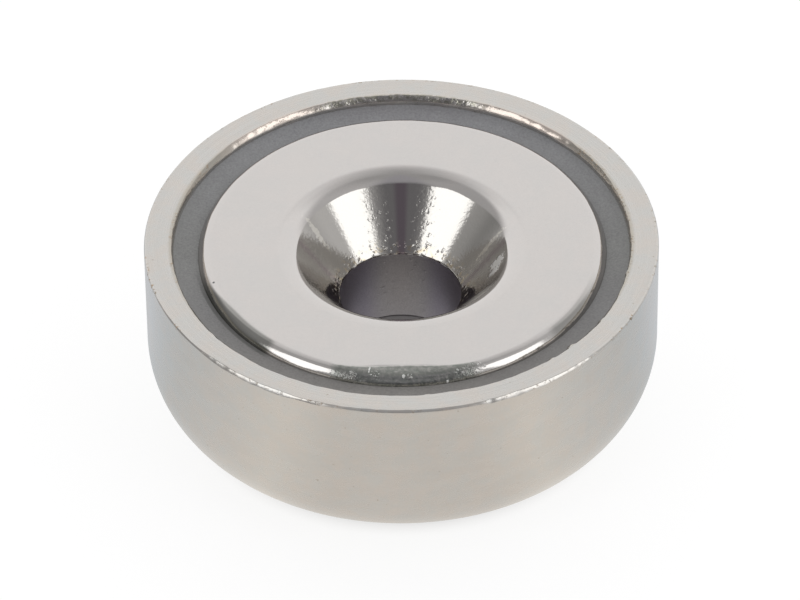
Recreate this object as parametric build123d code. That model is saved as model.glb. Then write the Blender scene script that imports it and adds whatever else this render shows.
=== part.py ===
from build123d import *
import os
from math import radians, tan

# A pot magnet that a countersunk screw holds down: a steel cup, a ring magnet seated on the
# cup's floor, and cast resin in the gap between them. Sizes are in millimetres.
# The origin is the centre of the cup's base, and +Z points out of the cup's mouth.
# Every piece is turned about Z, so each one is drawn as a half section, with X as the radius.

# Cup
cup_diameter = 20.0
cup_height = 7.4
wall_thickness = 1.03
floor_thickness = 1.5
base_edge_radius = 3.0        # outside, where the wall is drawn over into the base
inner_corner_chamfer = 0.8    # inside, between the wall and the floor
rim_outer_edge = 0.08         # edge break on the outside of the rim
rim_inner_edge = 0.15         # edge break on the inside of the rim
base_hole_edge = 0.2          # edge break where the screw hole leaves the base

# Ring magnet
resin_gap = 0.97              # between the magnet's side and the cup's wall
magnet_recess = 0.2           # the magnet's face lies this far below the rim
magnet_edge_radius = 0.62     # round the outside of its face
magnet_foot_chamfer = 0.25    # round the outside of its foot, inside the resin

# Screw hole, through the magnet and the cup's floor
screw_hole_diameter = 4.7
countersink_diameter = 8.75   # where the cone would meet the magnet's face, were it sharp
countersink_angle = 77.0      # between opposite sides of the cone
countersink_lip_radius = 1.05
bore_mouth_chamfer = 0.12     # between the cone and the bore
seam_edge = 0.06              # edge break on both sides of the seam between magnet and floor

# Resin
resin_wall_recess = 0.36      # below the rim, at the cup's wall
resin_magnet_recess = 0.53    # below the rim, beside the magnet
resin_sag = 0.05              # dip of the surface between the two

# Derived places
cup_radius = cup_diameter / 2
cup_bore_radius = cup_radius - wall_thickness
hole_radius = screw_hole_diameter / 2
magnet_radius = cup_bore_radius - resin_gap
magnet_face_level = cup_height - magnet_recess
countersink_radius = countersink_diameter / 2
countersink_depth = (countersink_radius - hole_radius) / tan(radians(countersink_angle / 2))


def nearest_vertex(section, corner):
    return section.vertices().sort_by_distance((*corner, 0))[0]


def rounded(section, corner, radius):
    return fillet(nearest_vertex(section, corner), radius)


def broken(section, corner, length):
    return chamfer(nearest_vertex(section, corner), length)


def turned(section):
    """The solid that a half section makes when it turns once about Z."""
    return revolve(Plane.XZ * section, axis=Axis.Z)


def steel_cup():
    base_hole = (hole_radius, 0)
    base_edge = (cup_radius, 0)
    rim_outer = (cup_radius, cup_height)
    rim_inner = (cup_bore_radius, cup_height)
    inner_corner = (cup_bore_radius, floor_thickness)
    floor_hole = (hole_radius, floor_thickness)
    corners = [base_hole, base_edge, rim_outer, rim_inner, inner_corner, floor_hole]
    section = make_face(Polyline(*corners, close=True))
    section = broken(section, base_hole, base_hole_edge)
    section = rounded(section, base_edge, base_edge_radius)
    section = broken(section, rim_outer, rim_outer_edge)
    section = broken(section, rim_inner, rim_inner_edge)
    # The chamfer ends clear of the magnet, which seats on the flat of the floor.
    section = broken(section, inner_corner, min(inner_corner_chamfer, resin_gap))
    section = broken(section, floor_hole, seam_edge)
    return turned(section)


def ring_magnet():
    lip = (countersink_radius, magnet_face_level)
    bore_mouth = (hole_radius, magnet_face_level - countersink_depth)
    seam = (hole_radius, floor_thickness)
    foot = (magnet_radius, floor_thickness)
    edge = (magnet_radius, magnet_face_level)
    section = make_face(Polyline(lip, bore_mouth, seam, foot, edge, close=True))
    section = rounded(section, lip, countersink_lip_radius)
    section = broken(section, bore_mouth, bore_mouth_chamfer)
    section = broken(section, seam, seam_edge)
    section = broken(section, foot, magnet_foot_chamfer)
    section = rounded(section, edge, magnet_edge_radius)
    return turned(section)


def resin_fill(cup, magnet):
    """What fills the gap once the magnet is in the cup: a pool, less the cup and the magnet."""
    # The pool reaches into the magnet, half way in under the rounding of its face's edge.
    pool_radius = magnet_radius - magnet_edge_radius / 2
    wall_level = cup_height - resin_wall_recess
    magnet_level = cup_height - resin_magnet_recess
    middle = ((pool_radius + cup_bore_radius) / 2, (wall_level + magnet_level) / 2 - resin_sag)
    surface = ThreePointArc((pool_radius, magnet_level), middle, (cup_bore_radius, wall_level))
    corner = (cup_bore_radius, floor_thickness)
    foot = (pool_radius, floor_thickness)
    pool = make_face([surface, Polyline(surface @ 1, corner, foot, surface @ 0)])
    return turned(pool) - cup - magnet


cup = steel_cup()
magnet = ring_magnet()
pieces = {"steel_cup": cup, "ring_magnet": magnet, "resin_fill": resin_fill(cup, magnet)}

os.makedirs("parts", exist_ok=True)
for name, piece in pieces.items():
    export_step(piece, f"parts/{name}.step")
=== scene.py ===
import math
from types import SimpleNamespace

import bpy
import numpy as np
from mathutils import Matrix, Vector, noise


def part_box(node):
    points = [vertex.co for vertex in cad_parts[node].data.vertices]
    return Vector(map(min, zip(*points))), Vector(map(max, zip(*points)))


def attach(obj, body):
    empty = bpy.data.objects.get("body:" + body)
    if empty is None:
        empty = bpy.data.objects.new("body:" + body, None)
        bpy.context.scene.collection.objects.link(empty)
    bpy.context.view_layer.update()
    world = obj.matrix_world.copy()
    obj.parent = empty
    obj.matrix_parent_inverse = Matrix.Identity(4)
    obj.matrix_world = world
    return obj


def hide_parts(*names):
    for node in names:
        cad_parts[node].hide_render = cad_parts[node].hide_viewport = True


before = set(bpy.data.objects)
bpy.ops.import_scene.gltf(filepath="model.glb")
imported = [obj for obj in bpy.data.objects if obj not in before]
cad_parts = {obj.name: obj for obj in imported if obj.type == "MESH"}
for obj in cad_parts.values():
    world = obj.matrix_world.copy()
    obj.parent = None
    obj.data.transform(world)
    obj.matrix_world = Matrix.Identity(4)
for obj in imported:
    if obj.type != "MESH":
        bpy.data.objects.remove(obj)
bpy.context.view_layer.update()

# A pot magnet: a nickel-plated steel cup, a ring magnet in it and cast resin between the two.
# Every piece is turned about Z. Lengths are in millimetres until turned() makes the mesh.
# An angle round the axis is in degrees, 0 at the front, -Y, and grows towards +X.
# A tilt is the slope of a surface, in degrees: 0 is level and 90 is upright.
MM = 0.001
STEPS_ROUND = 1440
ANGLES = np.arange(STEPS_ROUND) * 2 * math.pi / STEPS_ROUND
DEGREES = (np.degrees(ANGLES) + 180) % 360 - 180

# ---------------------------------------------------------------- sizes, from the frame


def size_of(node):
    """The node's radius, foot level and top level, in millimetres."""
    low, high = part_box(node)
    return high.x / MM, low.z / MM, high.z / MM


CUP_RADIUS, _, RIM_LEVEL = size_of("steel_cup")
MAGNET_RADIUS, FLOOR_LEVEL, FACE_LEVEL = size_of("ring_magnet")
BORE_RADIUS, _, RESIN_WALL_LEVEL = size_of("resin_fill")

# The cup
BASE_EDGE_RADIUS = 3.0
BASE_HOLE_EDGE = 0.2
INNER_CORNER_CHAMFER = 0.8
SEAM_EDGE = 0.04
BORE_TO_FRONT = 0.05          # how far off centre its bore is
LINING = 0.11                 # plating and spilt resin make the bore this much narrower
CUP_BORE_RADIUS = BORE_RADIUS - LINING

# The rim
RIM_OUTER_FLAT = 0.085        # width, from above, of the worn flat on its outside
RIM_OUTER_ROUND = 0.035       # of the roundings above and below that flat
RIM_OUTER_FACING = 40.0       # where the flat faces: 0 outwards, 90 up
RIM_FRONT_FACING = 60.0       # and at the front
RIM_FRONT_ENDS = (20, 13)     # the angles between which it turns from the one to the other
RIM_FOOT_DROP = 0.16          # where the plain wall ends, below the rim
RIM_INNER_WIDTH = 0.155       # of the bevel on its inside, which is about 50 degrees steep
RIM_INNER_DROP = 0.19
RIM_INNER_ROUND = 0.03
RIM_INNER_FOOT_DROP = 0.1     # where the bore is plain again, below the bevel
# Wear on its outer edge, and the width of its inner bevel, by angle: shares of the full.
RIM_WEAR = [(-52, 0.3), (-45, 1.0), (-28, 1.0), (-23, 0.8), (17, 0.75), (21, 1.0),
            (34, 1.0), (38, 0.6), (44, 0.6), (50, 0.3)]
BEVEL_SHARES = [(60, 1.0), (75, 0.45), (112, 0.45), (132, 1.0)]
# Burrs on its inner edge: angle, half width in degrees, reach.
BURRS = [(5.8, 1.0, 0.04), (39.2, 0.8, 0.04), (45.7, 1.6, 0.10), (57.9, 1.2, 0.04), (76.8, 1.0, 0.03)]
# Its waves: height as a share of the size they are on, length and seed.
OUTER_FLAT_WAVES = [(0.25, 1.1, 1.5), (0.2, 0.3, 6.5)]
INNER_WIDTH_WAVES = [(0.18, 1.6, 2.5), (0.10, 0.4, 3.5)]
INNER_DROP_WAVES = [(0.15, 1.2, 7.5), (0.08, 0.3, 9.5)]
INNER_EDGE_WAVE = (0.010, 0.4, 8.5)         # its height is in millimetres

# The magnet
MAGNET_TO_RIGHT, MAGNET_TO_BACK = 0.035, 0.045      # how far off centre it sits
HOLE_RADIUS = 2.38
HOLE_TO_RIGHT = -0.06         # how far off centre the screw hole is, all the way down
HOLE_MARGIN = 0.2             # rows this near to the hole's radius are on its wall
CONE_TO_RIGHT = 0.02
CONE_MARGIN = 1.0             # rows this near to the cone's radius move with the cone
CONE_RADIUS = 4.34            # where the cone would meet the face
CONE_HALF_ANGLE = math.radians(38.5)
LIP_RADIUS = 1.2
LIP_END_TILT = 42.0           # where the lip meets the cone
BORE_MOUTH_RADIUS = 0.09
MAGNET_FOOT_CHAMFER = 0.25
# The round edge of its face, at its start, its shoulder and its brow: radius, drop and tilt.
EDGE_START = (7.45, 0.0, 0)
EDGE_SHOULDER = (7.748, 0.107, 46)
EDGE_BROW = (7.907, 0.311, 59)
EDGE_DROP = 0.62
WORN_REACH = 0.32             # the edge starts this much further in, where it is worn at the front
WORN_DROP = 0.07
WORN_MIDDLE, WORN_HALF_WIDTH = 0.5, 23.0
WORN_TILT = 17.0              # of the worn edge where it starts
# Waves on the wear, as on the rim; on the round edge and the hole's mouth, in millimetres.
WORN_WAVES = [(0.12, 1.2, 4.5)]
EDGE_WAVE = (0.01, 0.9, 5.5)
MOUTH_WAVE = (0.012, 0.35, 11.5)

# The resin
RESIN_MAGNET_LEVEL = 6.80
RESIN_SHORE = 0.07            # how far it reaches in under the round edge of the magnet's face
RESIN_SAG = 0.05
RESIN_SURFACE_ROWS = 13

# ---------------------------------------------------------------- turned meshes

NOISE_GAIN = 1.6              # brings Blender's noise to about -1 to 1
NEAR_THE_RIM = 9.0            # the radius at which the lumps of a ring's noise have their size
SHARP_ANGLE = 30              # edges steeper than this are drawn sharp, in degrees


def ring_noise(length, seed, radius=NEAR_THE_RIM):
    """Smooth noise round the axis; length is the size of its lumps at a radius."""
    k = radius / length
    points = [Vector((k * math.cos(a), k * math.sin(a), seed)) for a in ANGLES]
    return np.array([noise.noise(p) for p in points]) * NOISE_GAIN


def waves(kinds):
    """1 with waves of several kinds on it, for every angle."""
    return sum((share * ring_noise(length, seed) for share, length, seed in kinds), 1)


def wave(kind, radius=NEAR_THE_RIM):
    """A wave whose height is in millimetres, for every angle."""
    height, length, seed = kind
    return height * ring_noise(length, seed, radius)


def smooth_step(value, low, high):
    t = np.clip((value - low) / (high - low), 0, 1)
    return t * t * (3 - 2 * t)


def bump_at(angle, half_width):
    """1 at an angle, and 0 from half_width degrees away on."""
    away = np.abs((DEGREES - angle + 180) % 360 - 180)
    return smooth_step(away, half_width, 0)


def line(start, end, steps=1, margin=0.0):
    """Rows from start to end, without the end; a margin adds a row close to each end."""
    shares = list(np.linspace(0, 1, steps + 1)[:-1])
    if margin:
        length = np.max(np.hypot(end[0] - start[0], end[1] - start[1]))
        shares = sorted(set(shares + [margin / length, 1 - margin / length]))
    return [(start[0] + (end[0] - start[0]) * s, start[1] + (end[1] - start[1]) * s) for s in shares]


def arc(centre, radius, first, last, steps):
    """Rows on an arc, without its end; its angles are in degrees, 0 outwards and 90 up."""
    angles = np.radians(np.linspace(first, last, steps + 1)[:-1])
    return [(centre[0] + radius * np.cos(a), centre[1] + radius * np.sin(a)) for a in angles]


def bend(start, start_tilt, end, end_tilt, steps):
    """Rows on a smooth curve that goes outwards and down, without its end."""
    length = np.hypot(end[0] - start[0], end[1] - start[1])
    rows = []
    for t in np.linspace(0, 1, steps + 1)[:-1]:
        from_start, leave = 2 * t**3 - 3 * t**2 + 1, t**3 - 2 * t**2 + t
        from_end, arrive = 3 * t**2 - 2 * t**3, t**3 - t**2
        a, b = np.radians(start_tilt), np.radians(end_tilt)
        out = from_start * start[0] + from_end * end[0]
        out = out + length * (leave * np.cos(a) + arrive * np.cos(b))
        level = from_start * start[1] + from_end * end[1]
        level = level - length * (leave * np.sin(a) + arrive * np.sin(b))
        rows.append((out, level))
    return rows


def turned(name, rows):
    """A closed mesh from rows of (radius, level), each a number or a value for every angle."""
    radius = np.array([np.broadcast_to(r, STEPS_ROUND) for r, z in rows])
    level = np.array([np.broadcast_to(z, STEPS_ROUND) for r, z in rows])
    x, y = radius * np.sin(ANGLES), -radius * np.cos(ANGLES)
    points = np.stack([x, y, level], -1).reshape(-1, 3) * MM
    count = len(rows)
    here = np.arange(count * STEPS_ROUND).reshape(count, STEPS_ROUND)
    above = np.roll(here, -1, 0)
    quads = np.stack([here, np.roll(here, -1, 1), np.roll(above, -1, 1), above], -1).reshape(-1, 4)
    mesh = bpy.data.meshes.new(name)
    mesh.from_pydata(points.tolist(), [], quads.tolist())
    mesh.polygons.foreach_set("use_smooth", np.ones(len(quads), bool))
    mesh.set_sharp_from_angle(angle=math.radians(SHARP_ANGLE))
    piece = bpy.data.objects.new(name, mesh)
    bpy.context.scene.collection.objects.link(piece)
    return piece


def worn_edge(outer, top, flat, softness, facing):
    """Rows from an upright wall to a level top: a worn flat between two roundings."""
    rise = flat / np.tan(np.radians(facing))
    low = (outer - softness, top - softness - rise)
    high = (outer - softness - flat, top - softness)
    return arc(low, softness, 0, facing, 4) + arc(high, softness, facing, 90, 5)


def bevel(outer, inner, top, drop, softness):
    """Rows of a bevel that goes inwards and down, with softened ends, without its end."""
    slope = (outer - inner) / drop
    rows = [(outer + softness, top), (outer + 0.3 * softness, top - 0.1 * softness)]
    rows += [(outer - softness * slope, top - softness)]
    rows += [(inner + softness * slope, top - drop + softness)]
    rows += [(inner + 0.1 * softness, top - drop - 0.3 * softness)]
    return rows


def bore_radius():
    """The cup's bore, which is a little off centre, for every angle."""
    return CUP_BORE_RADIUS + BORE_TO_FRONT * np.cos(ANGLES)


def hole_radius():
    """The screw hole, which is a little off centre too, for every angle."""
    return HOLE_RADIUS + HOLE_TO_RIGHT * np.sin(ANGLES)


def magnet_offset():
    """How much further out the magnet's side lies, for every angle."""
    return MAGNET_TO_RIGHT * np.sin(ANGLES) - MAGNET_TO_BACK * np.cos(ANGLES)


def rim_outside(away):
    """Rows from the cup's wall over the worn edge, and how far in the edge reaches."""
    worn = np.interp(DEGREES, *zip(*RIM_WEAR))
    flat = worn * RIM_OUTER_FLAT * waves(OUTER_FLAT_WAVES)
    turned_up = smooth_step(away, *RIM_FRONT_ENDS)
    facing = RIM_OUTER_FACING + (RIM_FRONT_FACING - RIM_OUTER_FACING) * turned_up
    return worn_edge(CUP_RADIUS, RIM_LEVEL, flat, RIM_OUTER_ROUND, facing), flat + RIM_OUTER_ROUND


def rim_inside(away, bore, outer_reach):
    """Rows from the rim's outer edge over its inner bevel, and down to the plain bore."""
    full_width = RIM_INNER_WIDTH * np.interp(away, *zip(*BEVEL_SHARES))
    width = full_width * waves(INNER_WIDTH_WAVES)
    drop = RIM_INNER_DROP * waves(INNER_DROP_WAVES)
    burr = sum(reach * bump_at(angle, half_width) for angle, half_width, reach in BURRS)
    inner_edge = bore + wave(INNER_EDGE_WAVE) - burr
    top_edge = inner_edge + width
    bevel_foot = (inner_edge, RIM_LEVEL - drop - RIM_INNER_ROUND)
    plain_bore = (bore, RIM_LEVEL - drop - RIM_INNER_FOOT_DROP)
    flat_start, flat_end = (CUP_RADIUS - outer_reach, RIM_LEVEL), (top_edge + RIM_INNER_ROUND, RIM_LEVEL)
    rows = line(flat_start, flat_end, steps=4, margin=0.03)
    rows += bevel(top_edge, inner_edge, RIM_LEVEL, drop, RIM_INNER_ROUND)
    return rows + line(bevel_foot, plain_bore), plain_bore


def steel_cup():
    bore, hole, away = bore_radius(), hole_radius(), np.abs(DEGREES)
    base_edge = CUP_RADIUS - BASE_EDGE_RADIUS
    hole_foot, base_start = (hole, BASE_HOLE_EDGE), (hole + BASE_HOLE_EDGE, 0)
    wall_foot, wall_top = (CUP_RADIUS, BASE_EDGE_RADIUS), (CUP_RADIUS, RIM_LEVEL - RIM_FOOT_DROP)
    corner_top = (bore, FLOOR_LEVEL + INNER_CORNER_CHAMFER)
    corner_foot = (bore - INNER_CORNER_CHAMFER, FLOOR_LEVEL)
    seam_out, seam_in = (hole + SEAM_EDGE, FLOOR_LEVEL), (hole, FLOOR_LEVEL - SEAM_EDGE)
    outside, outer_reach = rim_outside(away)
    inside, plain_bore = rim_inside(away, bore, outer_reach)
    rows = line(hole_foot, base_start)
    rows += line(base_start, (base_edge, 0), steps=4, margin=0.05)
    rows += arc((base_edge, BASE_EDGE_RADIUS), BASE_EDGE_RADIUS, -90, 0, steps=20)
    rows += line(wall_foot, wall_top, steps=6, margin=0.03)
    rows += outside + inside
    rows += line(plain_bore, corner_top, steps=2)
    rows += line(corner_top, corner_foot)
    rows += line(corner_foot, seam_out)
    rows += line(seam_out, seam_in)
    rows += line(seam_in, hole_foot, steps=2)
    return turned("cup", rows)


def magnet_side(hole):
    """Rows from the lip outwards over the round edge, down the side and along the foot."""
    worn = bump_at(WORN_MIDDLE, WORN_HALF_WIDTH) * waves(WORN_WAVES)
    wavy = wave(EDGE_WAVE)
    start = (EDGE_START[0] - WORN_REACH * worn + wavy, FACE_LEVEL)
    start_tilt = EDGE_START[2] + WORN_TILT * worn
    shoulder = (EDGE_SHOULDER[0] + wavy, FACE_LEVEL - EDGE_SHOULDER[1] - WORN_DROP * worn)
    brow = (EDGE_BROW[0], FACE_LEVEL - EDGE_BROW[1])
    side_top = (MAGNET_RADIUS, FACE_LEVEL - EDGE_DROP)
    foot_out = (MAGNET_RADIUS, FLOOR_LEVEL + MAGNET_FOOT_CHAMFER)
    foot_in = (MAGNET_RADIUS - MAGNET_FOOT_CHAMFER, FLOOR_LEVEL)
    rows = line((lip_centre()[0], FACE_LEVEL), start, steps=4, margin=0.03)
    rows += bend(start, start_tilt, shoulder, EDGE_SHOULDER[2], steps=9)
    rows += bend(shoulder, EDGE_SHOULDER[2], brow, EDGE_BROW[2], steps=6)
    rows += bend(brow, EDGE_BROW[2], side_top, 90, steps=4)
    rows += line(side_top, foot_out, steps=2)
    rows += line(foot_out, foot_in)
    return rows + line(foot_in, (hole + SEAM_EDGE, FLOOR_LEVEL))


def lip_corner():
    """Where the rounded lip meets the cone."""
    drop = LIP_RADIUS * (1 - math.cos(math.radians(LIP_END_TILT)))
    return CONE_RADIUS - drop * math.tan(CONE_HALF_ANGLE), FACE_LEVEL - drop


def lip_centre():
    reach = LIP_RADIUS * math.sin(math.radians(LIP_END_TILT))
    return lip_corner()[0] + reach, FACE_LEVEL - LIP_RADIUS


def magnet_hole(hole):
    """Rows from the seam up the screw hole, over its ragged mouth, up the cone and over the lip."""
    mouth_level = FACE_LEVEL - (CONE_RADIUS - HOLE_RADIUS) / math.tan(CONE_HALF_ANGLE)
    mouth_drop = BORE_MOUTH_RADIUS * math.tan(CONE_HALF_ANGLE / 2)
    mouth_centre = (hole + BORE_MOUTH_RADIUS, mouth_level - mouth_drop)
    mouth_top = (mouth_centre[0] - BORE_MOUTH_RADIUS * math.cos(CONE_HALF_ANGLE),
                 mouth_centre[1] + BORE_MOUTH_RADIUS * math.sin(CONE_HALF_ANGLE))
    seam_out, seam_in = (hole + SEAM_EDGE, FLOOR_LEVEL), (hole, FLOOR_LEVEL + SEAM_EDGE)
    rows = line(seam_out, seam_in)
    rows += line(seam_in, (hole, mouth_centre[1]), steps=4, margin=0.03)
    ragged = wave(MOUTH_WAVE, HOLE_RADIUS)
    mouth_end = 180 - math.degrees(CONE_HALF_ANGLE)
    mouth = arc(mouth_centre, BORE_MOUTH_RADIUS, 180, mouth_end, steps=6)
    rows += mouth[:1] + [(radius + ragged, level) for radius, level in mouth[1:]]
    rows += line(mouth_top, lip_corner(), steps=6, margin=0.02)
    return rows + arc(lip_centre(), LIP_RADIUS, 90 + LIP_END_TILT, 90, steps=14)


def ring_magnet():
    hole = hole_radius()
    cone_aside, side_aside = CONE_TO_RIGHT * np.sin(ANGLES), magnet_offset()
    rows = []
    for radius, level in magnet_side(hole) + magnet_hole(hole):
        in_hole = np.max(radius) < HOLE_RADIUS + HOLE_MARGIN
        aside = cone_aside if np.max(radius) < CONE_RADIUS + CONE_MARGIN else side_aside
        rows.append((radius if in_hole else radius + aside, level))
    return turned("magnet", rows[::-1])


def resin_fill():
    bore = bore_radius()
    side = MAGNET_RADIUS + magnet_offset()
    shore = side - RESIN_SHORE
    wall = (bore, RESIN_WALL_LEVEL)
    corner_top = (bore, FLOOR_LEVEL + INNER_CORNER_CHAMFER)
    corner_foot = (bore - INNER_CORNER_CHAMFER, FLOOR_LEVEL)
    foot_in = (side - MAGNET_FOOT_CHAMFER, FLOOR_LEVEL)
    foot_out = (side, FLOOR_LEVEL + MAGNET_FOOT_CHAMFER)
    rows = line(foot_out, foot_in) + line(foot_in, corner_foot) + line(corner_foot, corner_top)
    rows += line(corner_top, wall, steps=2, margin=0.03)
    for share in np.linspace(0, 1, RESIN_SURFACE_ROWS):
        sag = 4 * RESIN_SAG * share * (1 - share)
        level = RESIN_WALL_LEVEL + (RESIN_MAGNET_LEVEL - RESIN_WALL_LEVEL) * share - sag
        rows.append((bore + (shore - bore) * share, level))
    rows += line((side, FACE_LEVEL - EDGE_DROP), foot_out, steps=2)
    return turned("resin", rows)


# ---------------------------------------------------------------- colours and places of the wear

# Plating
NICKEL = (0.600, 0.577, 0.548)
NICKEL_COOL = (0.590, 0.5785, 0.557)
NICKEL_WARM = (0.611, 0.576, 0.540)
FACE_NICKEL = (0.597, 0.575, 0.560)
BRIGHT_NICKEL = (0.610, 0.580, 0.562)
# The rim's inner edge: cream behind, olive right at the back and golden elsewhere.
CREAM = (0.65, 0.57, 0.515)
OLIVE = (0.42, 0.41, 0.35)
GOLDEN = (0.36, 0.32, 0.25)
# Dirt; a darker edge on the magnet and on the resin beside it; painted shade on the magnet where the
# resin meets it
EDGE_DIRT = (0.26, 0.205, 0.14)
EDGE_RUST = (0.42, 0.29, 0.17)
# The magnet's edge: darker on the left and right, with painted shade in the crease at the resin
EDGE_DARK_AND_SHADE = (0.135, 0.140, 0.125)
# The resin, darker right beside the magnet on the left
RESIN_DARK_BESIDE_MAGNET = (0.09, 0.09, 0.085)
MOUTH_DIRT = (0.64, 0.56, 0.44)
# The countersink and the hole
# A painted reflection: the purple line at the back of the countersink
PURPLE_REFLECTION = (0.41, 0.33, 0.37)
# A painted highlight and painted shade, for soft patches in the countersink
PAINTED_GLEAM, PAINTED_SHADE = (0.92, 0.88, 0.80), (0.42, 0.41, 0.39)
BORE_TINT, BORE_SIDE_TINT = (0.395, 0.37, 0.37), (0.345, 0.312, 0.350)
BASE_HOLE_TINT = (0.27, 0.255, 0.255)
# Bare metal in a chip, and painted shade in a pit
CHIP, PIT_SHADE = (0.88, 0.88, 0.86), (0.15, 0.15, 0.15)
WORN_TONES = [(0.38, (0.245, 0.26, 0.237)), (0.5, (0.285, 0.293, 0.273)), (0.64, (0.37, 0.365, 0.345))]
# The resin from the front to the back, with painted light: lighter towards the back, where it sees more
# of the bright side of the studio.
RESIN_TONES = [(0.0, (0.272, 0.258, 0.246)), (0.3, (0.285, 0.280, 0.280)), (0.5, (0.312, 0.312, 0.306)),
               (0.93, (0.355, 0.355, 0.368)), (1.0, (0.320, 0.312, 0.325))]

# A fade is a pair: the value where a thing starts to show, and the value where it shows in full.
RIM_TOP = (RIM_LEVEL - 0.06, RIM_LEVEL - 0.01)
OUTER_EDGE = (0.16, 0.05)             # the distance from the rim's outside corner
INNER_EDGE = (0.20, 0.08)             # the distance from a ring within its inner bevel
INNER_EDGE_RING = (CUP_BORE_RADIUS + 0.06, RIM_LEVEL - 0.08)
HOLE_BELOW = (4.71, 4.66)             # the level of the screw hole's mouth
HOLE_WITHIN = (2.62, 2.52)            # a radius just outside its wall
CONE_BELOW = (6.92, 6.86)             # the level where the cone's own look starts
CONE_WITHIN = (4.6, 4.4)
MOUTH_BELOW = (5.30, 4.86)            # the level where the rough foot of the cone starts
MARKED_ABOVE = (5.4, 5.6)             # marks are on the cone's upper part, the lip and the face
# Painted shade in the crease where the resin meets the magnet's edge: below a level and beyond a radius
SHORE_SHADE_BELOW, SHORE_SHADE_BEYOND = (6.90, 6.83), (7.5, 7.6)
# A stretch round the axis has a fade at each end, in degrees.
MAGNET_LEFT_DARK = ((-39.5, -42.5), (-86, -70))
MAGNET_RIGHT_DARK = ((46, 50), (80, 60))
RESIN_LEFT_DARK = ((-38, -44), (-84, -70))
# Painted shade: the countersink is darker on its two sides
CONE_SHADED_SIDES = ((82, 97), (128, 114))

# Marks on the magnet: angle, radius, half length round the axis and half length across.
NICKS = [(86.5, 3.70, 0.30, 0.26), (80.5, 3.62, 0.20, 0.22)]
CHIPS = [(-9.9, 7.43, 0.04, 0.15), (0.2, 7.60, 0.055, 0.065), (12.4, 7.88, 0.05, 0.03)]
SPECKLED = [(-8.4, 7.60, 0.22, 0.14), (21.0, 7.66, 0.34, 0.17), (-15.5, 7.70, 0.32, 0.11),
            (16.5, 7.70, 0.22, 0.10), (2.0, 7.62, 0.14, 0.09)]
PIT = (-73.8, 7.57, 0.05, 0.05)
# Painted highlights in the countersink, soft lighter patches, and painted shade in a duller one.
PAINTED_GLEAMS = [(107, 3.6, 0.10, 0.55), (-117, 3.65, 0.13, 0.50)]
SHADE_PATCH = (-104, 3.35, 0.32, 0.35)

# ---------------------------------------------------------------- shader nodes


def colour(tint):
    """A tint with its alpha, as colour sockets take it."""
    return (*tint, 1)


class Graph:
    """Shader nodes written as expressions."""

    def __init__(self, tree):
        self.tree = tree
        tree.nodes.clear()

    def node(self, kind, inputs=(), **settings):
        made = self.tree.nodes.new(kind)
        for name, value in settings.items():
            setattr(made, name, value)
        for name, value in dict(inputs).items():
            self.feed(made.inputs[name], value)
        return made

    def feed(self, socket, value):
        if isinstance(value, bpy.types.NodeSocket):
            self.tree.links.new(value, socket)
        else:
            socket.default_value = value

    def math(self, operation, *values):
        made = self.node("ShaderNodeMath", operation=operation)
        for socket, value in zip(made.inputs, values):
            self.feed(socket, value)
        return made.outputs[0]

    def vector(self, operation, *values):
        made = self.node("ShaderNodeVectorMath", operation=operation)
        for socket, value in zip(made.inputs, values):
            self.feed(socket, value)
        return made.outputs["Value" if operation == "DOT_PRODUCT" else "Vector"]

    def product(self, *values):
        result = values[0]
        for value in values[1:]:
            result = self.math("MULTIPLY", result, value)
        return result

    def ramp(self, value, low, high, start=0.0, end=1.0, kind="SMOOTHSTEP"):
        inputs = {"Value": value, "From Min": low, "From Max": high, "To Min": start, "To Max": end}
        return self.node("ShaderNodeMapRange", inputs, interpolation_type=kind).outputs[0]

    def mix(self, share, first, second):
        made = self.node("ShaderNodeMix", data_type="RGBA")
        sockets = (made.inputs[0], made.inputs[6], made.inputs[7])
        for socket, value in zip(sockets, (share, first, second)):
            self.feed(socket, value)
        return made.outputs[2]

    def noise(self, vector, scale, detail=2.0, rough=0.5):
        inputs = {"Vector": vector, "Scale": scale, "Detail": detail, "Roughness": rough}
        return self.node("ShaderNodeTexNoise", inputs).outputs["Fac"]

    def pimples(self, vector, scale, size):
        """Small bumps, 1 at their tops; size is their radius as a share of their spacing."""
        irregular = self.product(self.noise(vector, 1.6 * scale, 2), 0.30)
        bent = self.vector("ADD", vector, irregular)
        spots = self.node("ShaderNodeTexVoronoi", {"Vector": bent, "Scale": scale}, feature="F1")
        sparse = self.ramp(self.noise(vector, scale, 2), 0.44, 0.58)
        return self.product(self.ramp(spots.outputs["Distance"], size, 0.0), sparse)

    def colours(self, value, stops):
        """A colour ramp from (position, colour) pairs."""
        made = self.node("ShaderNodeValToRGB", {0: value})
        elements = made.color_ramp.elements
        while len(elements) < len(stops):
            elements.new(0.5)
        for element, (position, _) in zip(elements, stops):
            element.position = position
        for element, (_, tint) in zip(elements, stops):
            element.color = colour(tint)
        return made.outputs[0]

    def bump(self, height, distance, normal=None):
        inputs = {"Height": height, "Strength": 1.0, "Distance": distance * MM}
        if normal is not None:
            inputs["Normal"] = normal
        return self.node("ShaderNodeBump", inputs).outputs[0]


def material(name):
    made = bpy.data.materials.new(name)
    made.use_nodes = True
    graph = Graph(made.node_tree)
    shader = graph.node("ShaderNodeBsdfPrincipled")
    graph.node("ShaderNodeOutputMaterial", {"Surface": shader.outputs[0]})
    return made, graph, shader


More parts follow.
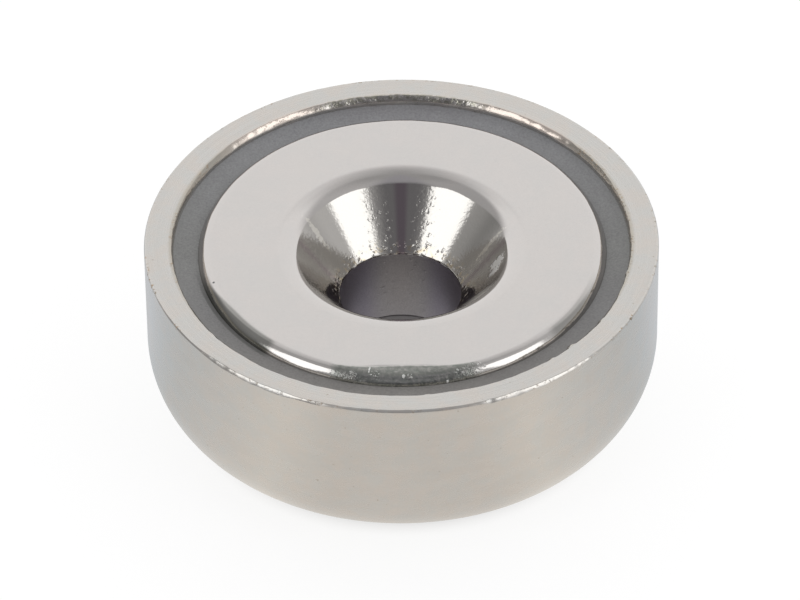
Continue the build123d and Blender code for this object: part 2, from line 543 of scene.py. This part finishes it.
class Place:
    """Where a point of the object is, in millimetres and degrees."""

    def __init__(self, graph):
        coord = graph.node("ShaderNodeTexCoord").outputs["Object"]
        self.graph = graph
        self.point = graph.vector("MULTIPLY", coord, (1 / MM,) * 3)
        flat = graph.vector("MULTIPLY", self.point, (1, 1, 0))
        self.around = graph.vector("NORMALIZE", flat)
        self.radius = graph.vector("DOT_PRODUCT", flat, self.around)
        x, y, self.level = graph.node("ShaderNodeSeparateXYZ", {0: self.point}).outputs
        turn = graph.math("ARCTAN2", x, graph.math("MULTIPLY", y, -1.0))
        self.angle = graph.math("DEGREES", turn)

    def lines(self, round_scale, other, other_scale):
        """A vector for noise that is stretched round the axis or across it."""
        g = self.graph
        ring = g.node("ShaderNodeVectorMath", {0: self.around, "Scale": round_scale}, operation="SCALE")
        rise = g.node("ShaderNodeCombineXYZ", {2: g.math("MULTIPLY", other, other_scale)})
        return g.vector("ADD", ring.outputs[0], rise.outputs[0])

    def distance(self, radius, level):
        """The distance from a ring, such as an edge."""
        g = self.graph
        across = g.math("SUBTRACT", self.radius, radius)
        up = g.math("SUBTRACT", self.level, level)
        return g.math("SQRT", g.math("ADD", g.product(across, across), g.product(up, up)))

    def spot(self, angle, radius, along, across, ragged=0.5):
        """A ragged mark on the top: 1 inside and 0 outside. Its half sizes are in millimetres."""
        g = self.graph
        turn = g.product(g.math("SUBTRACT", self.angle, angle), math.radians(radius))
        round_share = g.math("DIVIDE", turn, along)
        out_share = g.math("DIVIDE", g.math("SUBTRACT", self.radius, radius), across)
        squares = g.math("ADD", g.product(round_share, round_share), g.product(out_share, out_share))
        torn = g.ramp(g.noise(self.point, scale=9, detail=3), 0.3, 0.7, -ragged, ragged, "LINEAR")
        on_top = g.ramp(self.level, *MARKED_ABOVE)
        return g.product(g.ramp(g.math("ADD", g.math("SQRT", squares), torn), 1.2, 0.6), on_top)


def most(graph, values):
    result = values[0]
    for value in values[1:]:
        result = graph.math("MAXIMUM", result, value)
    return result


def shaded(graph, tint, shade):
    """A colour made lighter or darker by a value near 1."""
    return graph.node("ShaderNodeVectorMath", {0: tint, "Scale": shade}, operation="SCALE").outputs[0]


def uneven(graph, tint, pattern, low, high, amount):
    """A colour that a pattern, which runs from low to high, makes darker and lighter by an amount."""
    return shaded(graph, tint, graph.ramp(pattern, low, high, 1 - amount, 1 + amount, "LINEAR"))


def stretch(graph, angle, ends):
    """1 on a stretch round the axis, and 0 elsewhere."""
    return graph.product(graph.ramp(angle, *ends[0]), graph.ramp(angle, *ends[1]))


def in_screw_hole(graph, place):
    """1 on the wall of the screw hole, in the magnet and in the cup's floor."""
    return graph.product(graph.ramp(place.level, *HOLE_BELOW), graph.ramp(place.radius, *HOLE_WITHIN))


# ---------------------------------------------------------------- the cup's plating


def cup_patterns(g, place):
    """Where each kind of wear on the cup is, from 0 to 1, and the noises that it is made of."""
    on = SimpleNamespace(away=g.math("ABSOLUTE", place.angle), hole=in_screw_hole(g, place))
    smears = g.noise(place.lines(8, place.level, 2.2), scale=0.8, detail=4, rough=0.6)
    round_lines = g.noise(place.lines(1.5, place.radius, 7), scale=1.3, detail=3, rough=0.6)
    on.lines = g.mix(g.ramp(place.level, *RIM_TOP), smears, round_lines)
    on.grain = g.noise(place.point, scale=16, detail=3, rough=0.6)
    on.outer = g.ramp(place.distance(CUP_RADIUS, RIM_LEVEL), *OUTER_EDGE)
    on.inner = g.ramp(place.distance(*INNER_EDGE_RING), *INNER_EDGE)
    stretches = g.ramp(g.noise(place.point, scale=0.45, detail=2), 0.42, 0.58, 0.1, 1.0)
    spots = g.noise(place.point, scale=7, detail=3, rough=0.65)
    on.blots = g.product(g.ramp(spots, 0.55, 0.66), stretches)
    outside = g.product(on.outer, on.blots, g.ramp(on.away, 40, 50, 0.5, 0.9))
    inside = g.product(on.inner, on.blots, g.ramp(on.away, 136, 126, 0.15, 0.8))
    on.dirt = g.math("MAXIMUM", outside, inside)
    return on


def inner_edge_tint(g, place, on, tint):
    """The rim's inner edge, which is cream, olive or golden, by the angle from the front."""
    tint = g.mix(g.product(on.inner, g.ramp(on.away, 124, 138)), tint, colour(CREAM))
    olive_spots = g.ramp(g.noise(place.point, scale=6, detail=2), 0.4, 0.6)
    olive = g.mix(olive_spots, colour(OLIVE), colour(NICKEL))
    tint = g.mix(g.product(on.inner, g.ramp(on.away, 155, 162, 0.0, 0.9)), tint, olive)
    return g.mix(g.product(on.inner, g.ramp(on.away, 138, 124, 0.0, 0.5)), tint, colour(GOLDEN))


def cup_tint(g, place, on):
    patches = g.noise(place.point, scale=1.3, detail=4, rough=0.65)
    tint = g.mix(g.ramp(patches, 0.35, 0.65), colour(NICKEL_COOL), colour(NICKEL_WARM))
    tint = uneven(g, tint, on.lines, 0.25, 0.75, 0.035)
    tint = uneven(g, tint, on.grain, 0.25, 0.75, 0.025)
    freckles = g.ramp(g.noise(place.point, scale=6.5, detail=2), 0.71, 0.78)
    tint = g.mix(g.product(freckles, 0.4), tint, colour(EDGE_DIRT))
    tint = inner_edge_tint(g, place, on, tint)
    rusty = g.ramp(g.noise(place.point, scale=3.5, detail=3, rough=0.6), 0.50, 0.62)
    tint = g.mix(on.dirt, tint, g.mix(rusty, colour(EDGE_DIRT), colour(EDGE_RUST)))
    return g.mix(on.hole, tint, colour(BASE_HOLE_TINT))


def cup_roughness(g, on):
    rough = g.ramp(on.lines, 0.3, 0.7, 0.25, 0.29, "LINEAR")
    rough = g.math("ADD", rough, g.product(on.dirt, 0.2))
    rough = g.math("SUBTRACT", rough, g.product(on.inner, 0.11))
    # The outer edge is duller at the front, and glossier elsewhere.
    rough = g.math("SUBTRACT", rough, g.product(on.outer, g.ramp(on.away, 16, 22, -0.10, 0.10)))
    return g.math("ADD", rough, g.product(on.hole, 0.22))


def cup_normal(g, place, on):
    normal = g.bump(on.lines, 0.003)
    normal = g.bump(on.grain, 0.0012, normal)
    edges = g.math("MAXIMUM", on.outer, on.inner)
    normal = g.bump(g.product(on.blots, edges), 0.006, normal)
    speckle = g.ramp(g.noise(place.point, scale=8, detail=2), 0.45, 0.7)
    speckled = g.product(speckle, on.inner, g.ramp(on.away, 150, 160, 0.12, 1.0))
    return g.bump(speckled, 0.005, normal)


def cup_nickel():
    """Satin plating: soft smears on the wall, faint turned lines on the rim, dirt on its edges."""
    made, g, shader = material("cup_nickel")
    place = Place(g)
    on = cup_patterns(g, place)
    g.feed(shader.inputs["Base Color"], cup_tint(g, place, on))
    shader.inputs["Metallic"].default_value = 1.0
    g.feed(shader.inputs["Roughness"], cup_roughness(g, on))
    g.feed(shader.inputs["Normal"], cup_normal(g, place, on))
    return made


# ---------------------------------------------------------------- the magnet's plating


def worn_front(g, place):
    """1 on the worn front stretch of the face's round edge."""
    away = g.math("ABSOLUTE", g.math("SUBTRACT", place.angle, WORN_MIDDLE))
    further_in = g.product(g.ramp(away, WORN_HALF_WIDTH, 0), WORN_REACH)
    reach = g.math("ADD", place.radius, further_in)
    worn = g.ramp(reach, EDGE_START[0] - 0.05, EDGE_START[0] + 0.05)
    return g.product(worn, g.ramp(away, WORN_HALF_WIDTH, WORN_HALF_WIDTH - 4))


def chipped(g, place):
    """1 in the chips, less in the nick of the countersink and in the specks."""
    nick = g.product(most(g, [place.spot(*part, 0.4) for part in NICKS]), 0.75)
    fine = g.ramp(g.noise(place.point, scale=11, detail=2), 0.53, 0.62)
    specks = g.product(most(g, [place.spot(*cluster) for cluster in SPECKLED]), fine)
    return most(g, [place.spot(*chip) for chip in CHIPS] + [nick, g.product(specks, 0.65)])


def magnet_patterns(g, place):
    """Where each kind of look on the magnet is, from 0 to 1, and the noises it is made of."""
    on = SimpleNamespace(away=g.math("ABSOLUTE", place.angle), hole=in_screw_hole(g, place))
    on.patches = g.noise(place.point, scale=0.9, detail=4, rough=0.6)
    on.grain = g.noise(place.point, scale=18, detail=3, rough=0.6)
    on.mottle = g.noise(place.point, scale=4.5, detail=3, rough=0.65)
    on.cone = g.product(g.ramp(place.level, *CONE_BELOW), g.ramp(place.radius, *CONE_WITHIN))
    above_hole = g.ramp(place.level, *reversed(HOLE_BELOW))
    on.mouth = g.product(on.cone, g.ramp(place.level, *MOUTH_BELOW), above_hole)
    on.worn = worn_front(g, place)
    on.chips = chipped(g, place)
    return on


def edge_darkening_and_shade(g, place, patches):
    """How dark the face's edge is: darker on the left, less so on the right, and painted shade where the
    resin meets it.
    """
    narrowing = g.ramp(place.angle, -57, -82, 0.0, 0.34)
    reach = g.ramp(g.math("SUBTRACT", place.radius, narrowing), 7.40, 7.52)
    deep = g.ramp(place.radius, 7.72, 7.84, 0.64, 0.92)
    dark = g.product(deep, g.ramp(patches, 0.3, 0.7, 1.0, 0.92))
    left = g.product(stretch(g, place.angle, MAGNET_LEFT_DARK), reach, dark)
    outer = g.ramp(place.radius, 7.50, 7.64)
    right = g.product(stretch(g, place.angle, MAGNET_RIGHT_DARK), outer, 0.42)
    # Painted shade in the crease where the resin meets the edge.
    shore = g.product(g.ramp(place.level, *SHORE_SHADE_BELOW), g.ramp(place.radius, *SHORE_SHADE_BEYOND), 0.35)
    return g.math("MAXIMUM", g.math("MAXIMUM", left, right), shore)


def countersink_tint(g, place, on, tint):
    """Painted shade on its sides, a dirty foot, a purple line at the back as a painted reflection, and
    three soft patches: two painted highlights and one of painted shade.
    """
    # Painted shade on the countersink's sides.
    sides = stretch(g, on.away, CONE_SHADED_SIDES)
    tint = g.mix(on.cone, tint, shaded(g, NICKEL, g.ramp(sides, 0, 1, 1.0, 0.82, "LINEAR")))
    dirty = g.product(on.mouth, g.ramp(on.mottle, 0.5, 0.65))
    tint = g.mix(dirty, tint, colour(MOUTH_DIRT))
    # A painted reflection: a purple line at the back of the countersink.
    tint = g.mix(g.product(on.cone, g.ramp(on.away, 174.5, 178.5), 0.8), tint, colour(PURPLE_REFLECTION))
    # Painted highlights in soft lighter patches, and painted shade in a duller one.
    painted_gleam = most(g, [place.spot(*patch) for patch in PAINTED_GLEAMS])
    tint = g.mix(g.product(painted_gleam, 0.5), tint, colour(PAINTED_GLEAM))
    return g.mix(g.product(place.spot(*SHADE_PATCH), 0.6), tint, colour(PAINTED_SHADE))


def magnet_tint(g, place, on):
    tint = g.mix(g.ramp(on.patches, 0.3, 0.7), colour(BRIGHT_NICKEL), colour(FACE_NICKEL))
    tint = countersink_tint(g, place, on, tint)
    tint = uneven(g, tint, on.grain, 0.25, 0.75, 0.025)
    tint = g.mix(g.product(on.worn, 0.9), tint, g.colours(on.mottle, WORN_TONES))
    # A darker edge, with painted shade where the resin meets it.
    tint = g.mix(edge_darkening_and_shade(g, place, on.patches), tint, colour(EDGE_DARK_AND_SHADE))
    hole_tint = g.mix(g.ramp(on.away, 165, 140), colour(BORE_TINT), colour(BORE_SIDE_TINT))
    tint = g.mix(on.hole, tint, uneven(g, hole_tint, on.grain, 0.25, 0.75, 0.15))
    tint = g.mix(on.chips, tint, colour(CHIP))
    # Painted shade in a pit.
    return g.mix(place.spot(*PIT, 0.2), tint, colour(PIT_SHADE))


def magnet_roughness(g, on):
    rough = g.ramp(on.patches, 0.3, 0.7, 0.07, 0.10, "LINEAR")
    worn_rough = g.ramp(on.mottle, 0.3, 0.7, 0.02, 0.14, "LINEAR")
    rough = g.math("ADD", rough, g.product(on.worn, worn_rough))
    rough = g.math("ADD", rough, g.product(on.cone, g.ramp(on.away, 75, 52), 0.38))
    rough = g.math("ADD", rough, g.product(on.hole, 0.36))
    return g.math("ADD", rough, g.product(on.chips, 0.45))


def magnet_normal(g, place, on):
    normal = g.bump(on.grain, 0.0015)
    peel = g.noise(place.point, scale=8, detail=1, rough=0.4)
    normal = g.bump(g.product(peel, on.cone), 0.003, normal)
    # The countersink is pimpled at its foot, and further up on both sides of its back.
    beside_back = g.product(g.ramp(on.away, 150, 160), g.ramp(on.away, 176, 169, 0.3, 1.0))
    pimpled = g.product(on.cone, beside_back, g.ramp(place.level, 6.7, 5.5, 0.12, 0.45))
    pimpled = g.math("MAXIMUM", on.mouth, pimpled)
    pimples = g.pimples(place.point, scale=5.0, size=0.5)
    normal = g.bump(g.product(pimples, pimpled), 0.020, normal)
    normal = g.bump(g.product(on.mottle, on.worn), 0.02, normal)
    return g.bump(on.chips, 0.02, normal)


def magnet_nickel():
    """Bright plating: smooth on the face, pimpled in the countersink, dull in the hole."""
    made, g, shader = material("magnet_nickel")
    place = Place(g)
    on = magnet_patterns(g, place)
    g.feed(shader.inputs["Base Color"], magnet_tint(g, place, on))
    shader.inputs["Metallic"].default_value = 1.0
    g.feed(shader.inputs["Roughness"], magnet_roughness(g, on))
    g.feed(shader.inputs["Normal"], magnet_normal(g, place, on))
    return made


# ---------------------------------------------------------------- the resin


def cast_resin():
    """Dull grey epoxy with a fine grain."""
    made, g, shader = material("cast_resin")
    place = Place(g)
    grain = g.noise(place.point, scale=12, detail=4, rough=0.75)
    clouds = g.noise(place.point, scale=0.8, detail=3)
    # Painted light: the resin is lighter towards the back.
    front_to_back = g.node("ShaderNodeSeparateXYZ", {0: place.point}).outputs[1]
    share = g.ramp(front_to_back, -BORE_RADIUS, BORE_RADIUS, kind="LINEAR")
    tint = uneven(g, g.colours(share, RESIN_TONES), clouds, 0.35, 0.65, 0.03)
    tint = uneven(g, tint, grain, 0.3, 0.7, 0.20)
    # Darker right beside the magnet, on the left.
    beside_magnet = g.ramp(place.radius, MAGNET_RADIUS + 0.09, MAGNET_RADIUS + 0.02)
    darkened_beside_magnet = g.product(stretch(g, place.angle, RESIN_LEFT_DARK), beside_magnet, 0.6)
    g.feed(shader.inputs["Base Color"], g.mix(darkened_beside_magnet, tint, colour(RESIN_DARK_BESIDE_MAGNET)))
    shader.inputs["Roughness"].default_value = 0.6
    shader.inputs["IOR"].default_value = 1.4
    g.feed(shader.inputs["Normal"], g.bump(grain, 0.012))
    return made


# ---------------------------------------------------------------- studio

# How bright the studio is on each side, from the horizon up: elevation in degrees, level.
FRONT_LEVELS = [(0, 0.172), (46, 0.185), (52, 0.27), (64, 0.41), (90, 0.43)]
FRONT_COLOUR = (0.975, 0.965, 1.02)
BACK_LEVELS = [(0, 1.06), (40, 1.05), (48, 0.88), (56, 0.71), (66, 0.58), (74, 0.49), (82, 0.44),
               (90, 0.43)]
RIGHT_LEVELS = [(0, 0.70), (14, 0.65), (30, 0.60), (50, 0.62), (65, 0.54), (76, 0.44), (90, 0.43)]
LEFT_LEVELS = [(0, 0.55), (14, 0.32), (30, 0.48), (65, 0.50), (76, 0.42), (90, 0.43)]
# The back stays bright this much higher on its two sides, in degrees.
BACK_WING = 6.0
BACK_WING_END, BACK_WING_FULL = 177, 158
# Where the left gives way to the right, and where a side starts and ends, in degrees from the
# camera's side.
LEFT_TO_RIGHT = (-10, 10)
SIDE_START = (16, 49)
LEFT_END, RIGHT_END = (114, 134), (104, 133)
# The corners of the soft boxes: degrees from the camera's side, positive on the right, and elevation.
LEFT_BOX = [(-31, 33), (-50, 48), (-66, 45), (-80, 22), (-57, 21)]
RIGHT_BOX = [(36.5, 33), (51, 45), (66, 42), (81, 31), (77, 14), (58, 17)]
LEFT_SOFTNESS, RIGHT_SOFTNESS = 0.028, 0.042
BOX_LEVEL = 1.8
BOX_COLOUR = (0.99, 1.0, 1.0)
WHITE = (1, 1, 1)


def aim(azimuth, elevation):
    """The direction towards a place in the studio."""
    turn, rise = math.radians(azimuth), math.radians(elevation)
    return Vector((math.sin(turn) * math.cos(rise), -math.cos(turn) * math.cos(rise), math.sin(rise)))


def soft_box(graph, direction, corners, softness):
    """1 inside the patch of the studio that has these corners, and 0 outside."""
    aims = [aim(*corner) for corner in corners]
    middle = sum(aims, Vector())
    inside = []
    for here, there in zip(aims, aims[1:] + aims[:1]):
        side = here.cross(there).normalized()
        if side.dot(middle) < 0:
            side = -side
        inside.append(graph.ramp(graph.vector("DOT_PRODUCT", direction, side), -softness, softness))
    return graph.product(*inside)


def levels(graph, height, stops, tone=WHITE):
    """How bright a side of the studio is; height runs from 0, level, to 1, straight up."""
    stops = [(degrees / 90, [level * part for part in tone]) for degrees, level in stops]
    return graph.colours(height, stops)


def studio_world():
    """A soft studio, bright behind the object, with a soft box on each side of the camera."""
    world = bpy.data.worlds.new("studio")
    bpy.context.scene.world = world
    world.use_nodes = True
    g = Graph(world.node_tree)
    direction = g.node("ShaderNodeTexCoord").outputs["Generated"]
    x, y, z = g.node("ShaderNodeSeparateXYZ", {0: direction}).outputs
    azimuth = g.math("DEGREES", g.math("ARCTAN2", x, g.math("MULTIPLY", y, -1.0)))
    across = g.math("ABSOLUTE", azimuth)
    share = g.math("DIVIDE", g.math("DEGREES", g.math("ARCSINE", z)), 90.0)

    on_right = g.ramp(azimuth, *LEFT_TO_RIGHT)
    side = g.mix(on_right, levels(g, share, LEFT_LEVELS), levels(g, share, RIGHT_LEVELS))
    front = levels(g, share, FRONT_LEVELS, FRONT_COLOUR)
    near = g.mix(g.ramp(across, *SIDE_START), front, side)
    behind = g.mix(on_right, g.ramp(across, *LEFT_END), g.ramp(across, *RIGHT_END))
    wing = g.ramp(across, BACK_WING_END, BACK_WING_FULL, 0.0, BACK_WING / 90)
    room = g.mix(behind, near, levels(g, g.math("SUBTRACT", share, wing), BACK_LEVELS))
    box = g.math("MAXIMUM", soft_box(g, direction, LEFT_BOX, LEFT_SOFTNESS),
                 soft_box(g, direction, RIGHT_BOX, RIGHT_SOFTNESS))
    light = g.mix(box, room, colour([BOX_LEVEL * part for part in BOX_COLOUR]))
    seen = g.node("ShaderNodeLightPath").outputs["Is Camera Ray"]
    light = g.mix(seen, light, colour(WHITE))
    shader = g.node("ShaderNodeBackground", {"Color": light})
    g.node("ShaderNodeOutputWorld", {"Surface": shader.outputs[0]})


# ---------------------------------------------------------------- floor

# What the metal sees of the floor, as painted light that is brighter or darker by the angle round the
# object from the front, in degrees.
FLOOR_TONES = [(0, (0.86, 0.83, 0.79)), (22, (0.86, 0.83, 0.79)), (40, (0.97, 0.94, 0.89)),
               (60, (0.86, 0.85, 0.83)), (80, (0.74, 0.755, 0.76)), (93, (0.72, 0.755, 0.785)),
               (106, (0.76, 0.79, 0.83)), (180, (0.80, 0.80, 0.80))]
# Metal sees it dimmer within the cup's outline, a painted shadow under the object; so does the camera,
# which sees its glow fade.
# Each fade runs between two radii, given by how far they lie inside the outline.
FLOOR_IN_SHADOW = 0.74
FLOOR_SHADOW_INSIDE = (5.5, 3)
FLOOR_GLOW = 0.84
FLOOR_GLOW_INSIDE = (4, 1)
FLOOR_LIT = (0.27, 0.27, 0.27)            # the part of it that takes the shadow
PAPER = (0.75, 0.75, 0.75)                # what light that is neither seen nor mirrored meets
SHEET_REACH, SHEET_LEVEL = 0.5, -0.00002       # in metres: it lies just below the object


def floor_sheet():
    near, far = -SHEET_REACH, SHEET_REACH
    sides = [(near, near), (far, near), (far, far), (near, far)]
    mesh = bpy.data.meshes.new("floor")
    mesh.from_pydata([(x, y, SHEET_LEVEL) for x, y in sides], [], [(0, 1, 2, 3)])
    piece = bpy.data.objects.new("floor", mesh)
    bpy.context.scene.collection.objects.link(piece)
    return piece


def seen_floor(g, place):
    """White, with the object's shadow."""
    fade = g.ramp(place.radius, *[CUP_RADIUS - inside for inside in FLOOR_GLOW_INSIDE])
    lit = g.node("ShaderNodeBsdfDiffuse", {"Color": colour(FLOOR_LIT)})
    strength = g.product(fade, FLOOR_GLOW)
    glow = g.node("ShaderNodeEmission", {"Color": colour(WHITE), "Strength": strength})
    return g.node("ShaderNodeAddShader", {0: lit.outputs[0], 1: glow.outputs[0]})


def mirrored_floor(g, place):
    """Pale, with painted light: a tone for each angle round the object, and a painted shadow beneath it.
    """
    shadow_radii = [CUP_RADIUS - inside for inside in FLOOR_SHADOW_INSIDE]
    # Painted shadow: dimmer beneath the object.
    strength = g.ramp(place.radius, *shadow_radii, FLOOR_IN_SHADOW, 1.0)
    turn = g.math("DIVIDE", g.math("ABSOLUTE", place.angle), 180.0)
    tone = g.colours(turn, [(degrees / 180, tone) for degrees, tone in FLOOR_TONES])
    return g.node("ShaderNodeEmission", {"Color": tone, "Strength": strength})


def choose(g, share, first, second):
    """The first shader, or the second where the share is 1."""
    return g.node("ShaderNodeMixShader", {0: share, 1: first.outputs[0], 2: second.outputs[0]})


def floor():
    """A white sheet. The camera sees it as white with the object's shadow, and metal as pale."""
    made = bpy.data.materials.new("white_floor")
    made.use_nodes = True
    g = Graph(made.node_tree)
    place = Place(g)
    path = g.node("ShaderNodeLightPath")
    paper = g.node("ShaderNodeBsdfDiffuse", {"Color": colour(PAPER)})
    top = choose(g, path.outputs["Is Camera Ray"], paper, seen_floor(g, place))
    top = choose(g, path.outputs["Is Glossy Ray"], top, mirrored_floor(g, place))
    from_below = g.node("ShaderNodeNewGeometry").outputs["Backfacing"]
    sheet = choose(g, from_below, top, g.node("ShaderNodeBsdfTransparent"))
    g.node("ShaderNodeOutputMaterial", {"Surface": sheet.outputs[0]})
    piece = floor_sheet()
    piece.data.materials.append(made)


# ---------------------------------------------------------------- camera

# Its lens and sensor in millimetres, its elevation and roll in degrees, and how far it stands
# from the rim's centre, in millimetres.
CAMERA_LENS, CAMERA_SENSOR = 302.0, 36.0
CAMERA_ELEVATION = 40.237
CAMERA_ROLL = -0.655
CAMERA_DISTANCE = 260.63
CAMERA_CLIP_START = 0.01      # in metres
# Where the rim's centre shows in the frame, in pixels.
FRAME_WIDTH, FRAME_HEIGHT = 800, 600
RIM_CENTRE_PIXEL = (402.02, 240.53)


def camera_turn(towards):
    """The camera's axes as a matrix: it looks past the rim's centre, so that it shows off centre."""
    pixels = CAMERA_LENS * FRAME_WIDTH / CAMERA_SENSOR
    across = (RIM_CENTRE_PIXEL[0] - FRAME_WIDTH / 2) / pixels
    down = (RIM_CENTRE_PIXEL[1] - FRAME_HEIGHT / 2) / pixels
    right = Vector((1, 0, 0))
    up = right.cross(-towards)
    forward = (-towards - right * across + up * down).normalized()
    right = forward.cross(up).normalized()
    up = right.cross(forward)
    roll = math.radians(CAMERA_ROLL)
    rolled_right = right * math.cos(roll) + up * math.sin(roll)
    rolled_up = up * math.cos(roll) - right * math.sin(roll)
    return Matrix((rolled_right, rolled_up, -forward)).transposed()


def camera():
    data = bpy.data.cameras.new("camera")
    data.lens = CAMERA_LENS
    data.sensor_width = CAMERA_SENSOR
    data.clip_start = CAMERA_CLIP_START
    made = bpy.data.objects.new("camera", data)
    bpy.context.scene.collection.objects.link(made)
    elevation = math.radians(CAMERA_ELEVATION)
    towards = Vector((0, -math.cos(elevation), math.sin(elevation)))
    place = Vector((0, 0, RIM_LEVEL * MM)) + towards * CAMERA_DISTANCE * MM
    made.matrix_world = Matrix.Translation(place) @ camera_turn(towards).to_4x4()
    bpy.context.scene.camera = made


# ---------------------------------------------------------------- putting it together

camera()
studio_world()
floor()

parts = [
    (steel_cup(), "steel_cup", "cup_nickel", cup_nickel()),
    (ring_magnet(), "ring_magnet", "magnet_nickel", magnet_nickel()),
    (resin_fill(), "resin_fill", "resin", cast_resin()),
]
for piece, node, slot, finish in parts:
    piece.data.materials.append(finish)
    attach(piece, "root")
    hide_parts(node)

bpy.context.scene.view_settings.view_transform = "Standard"
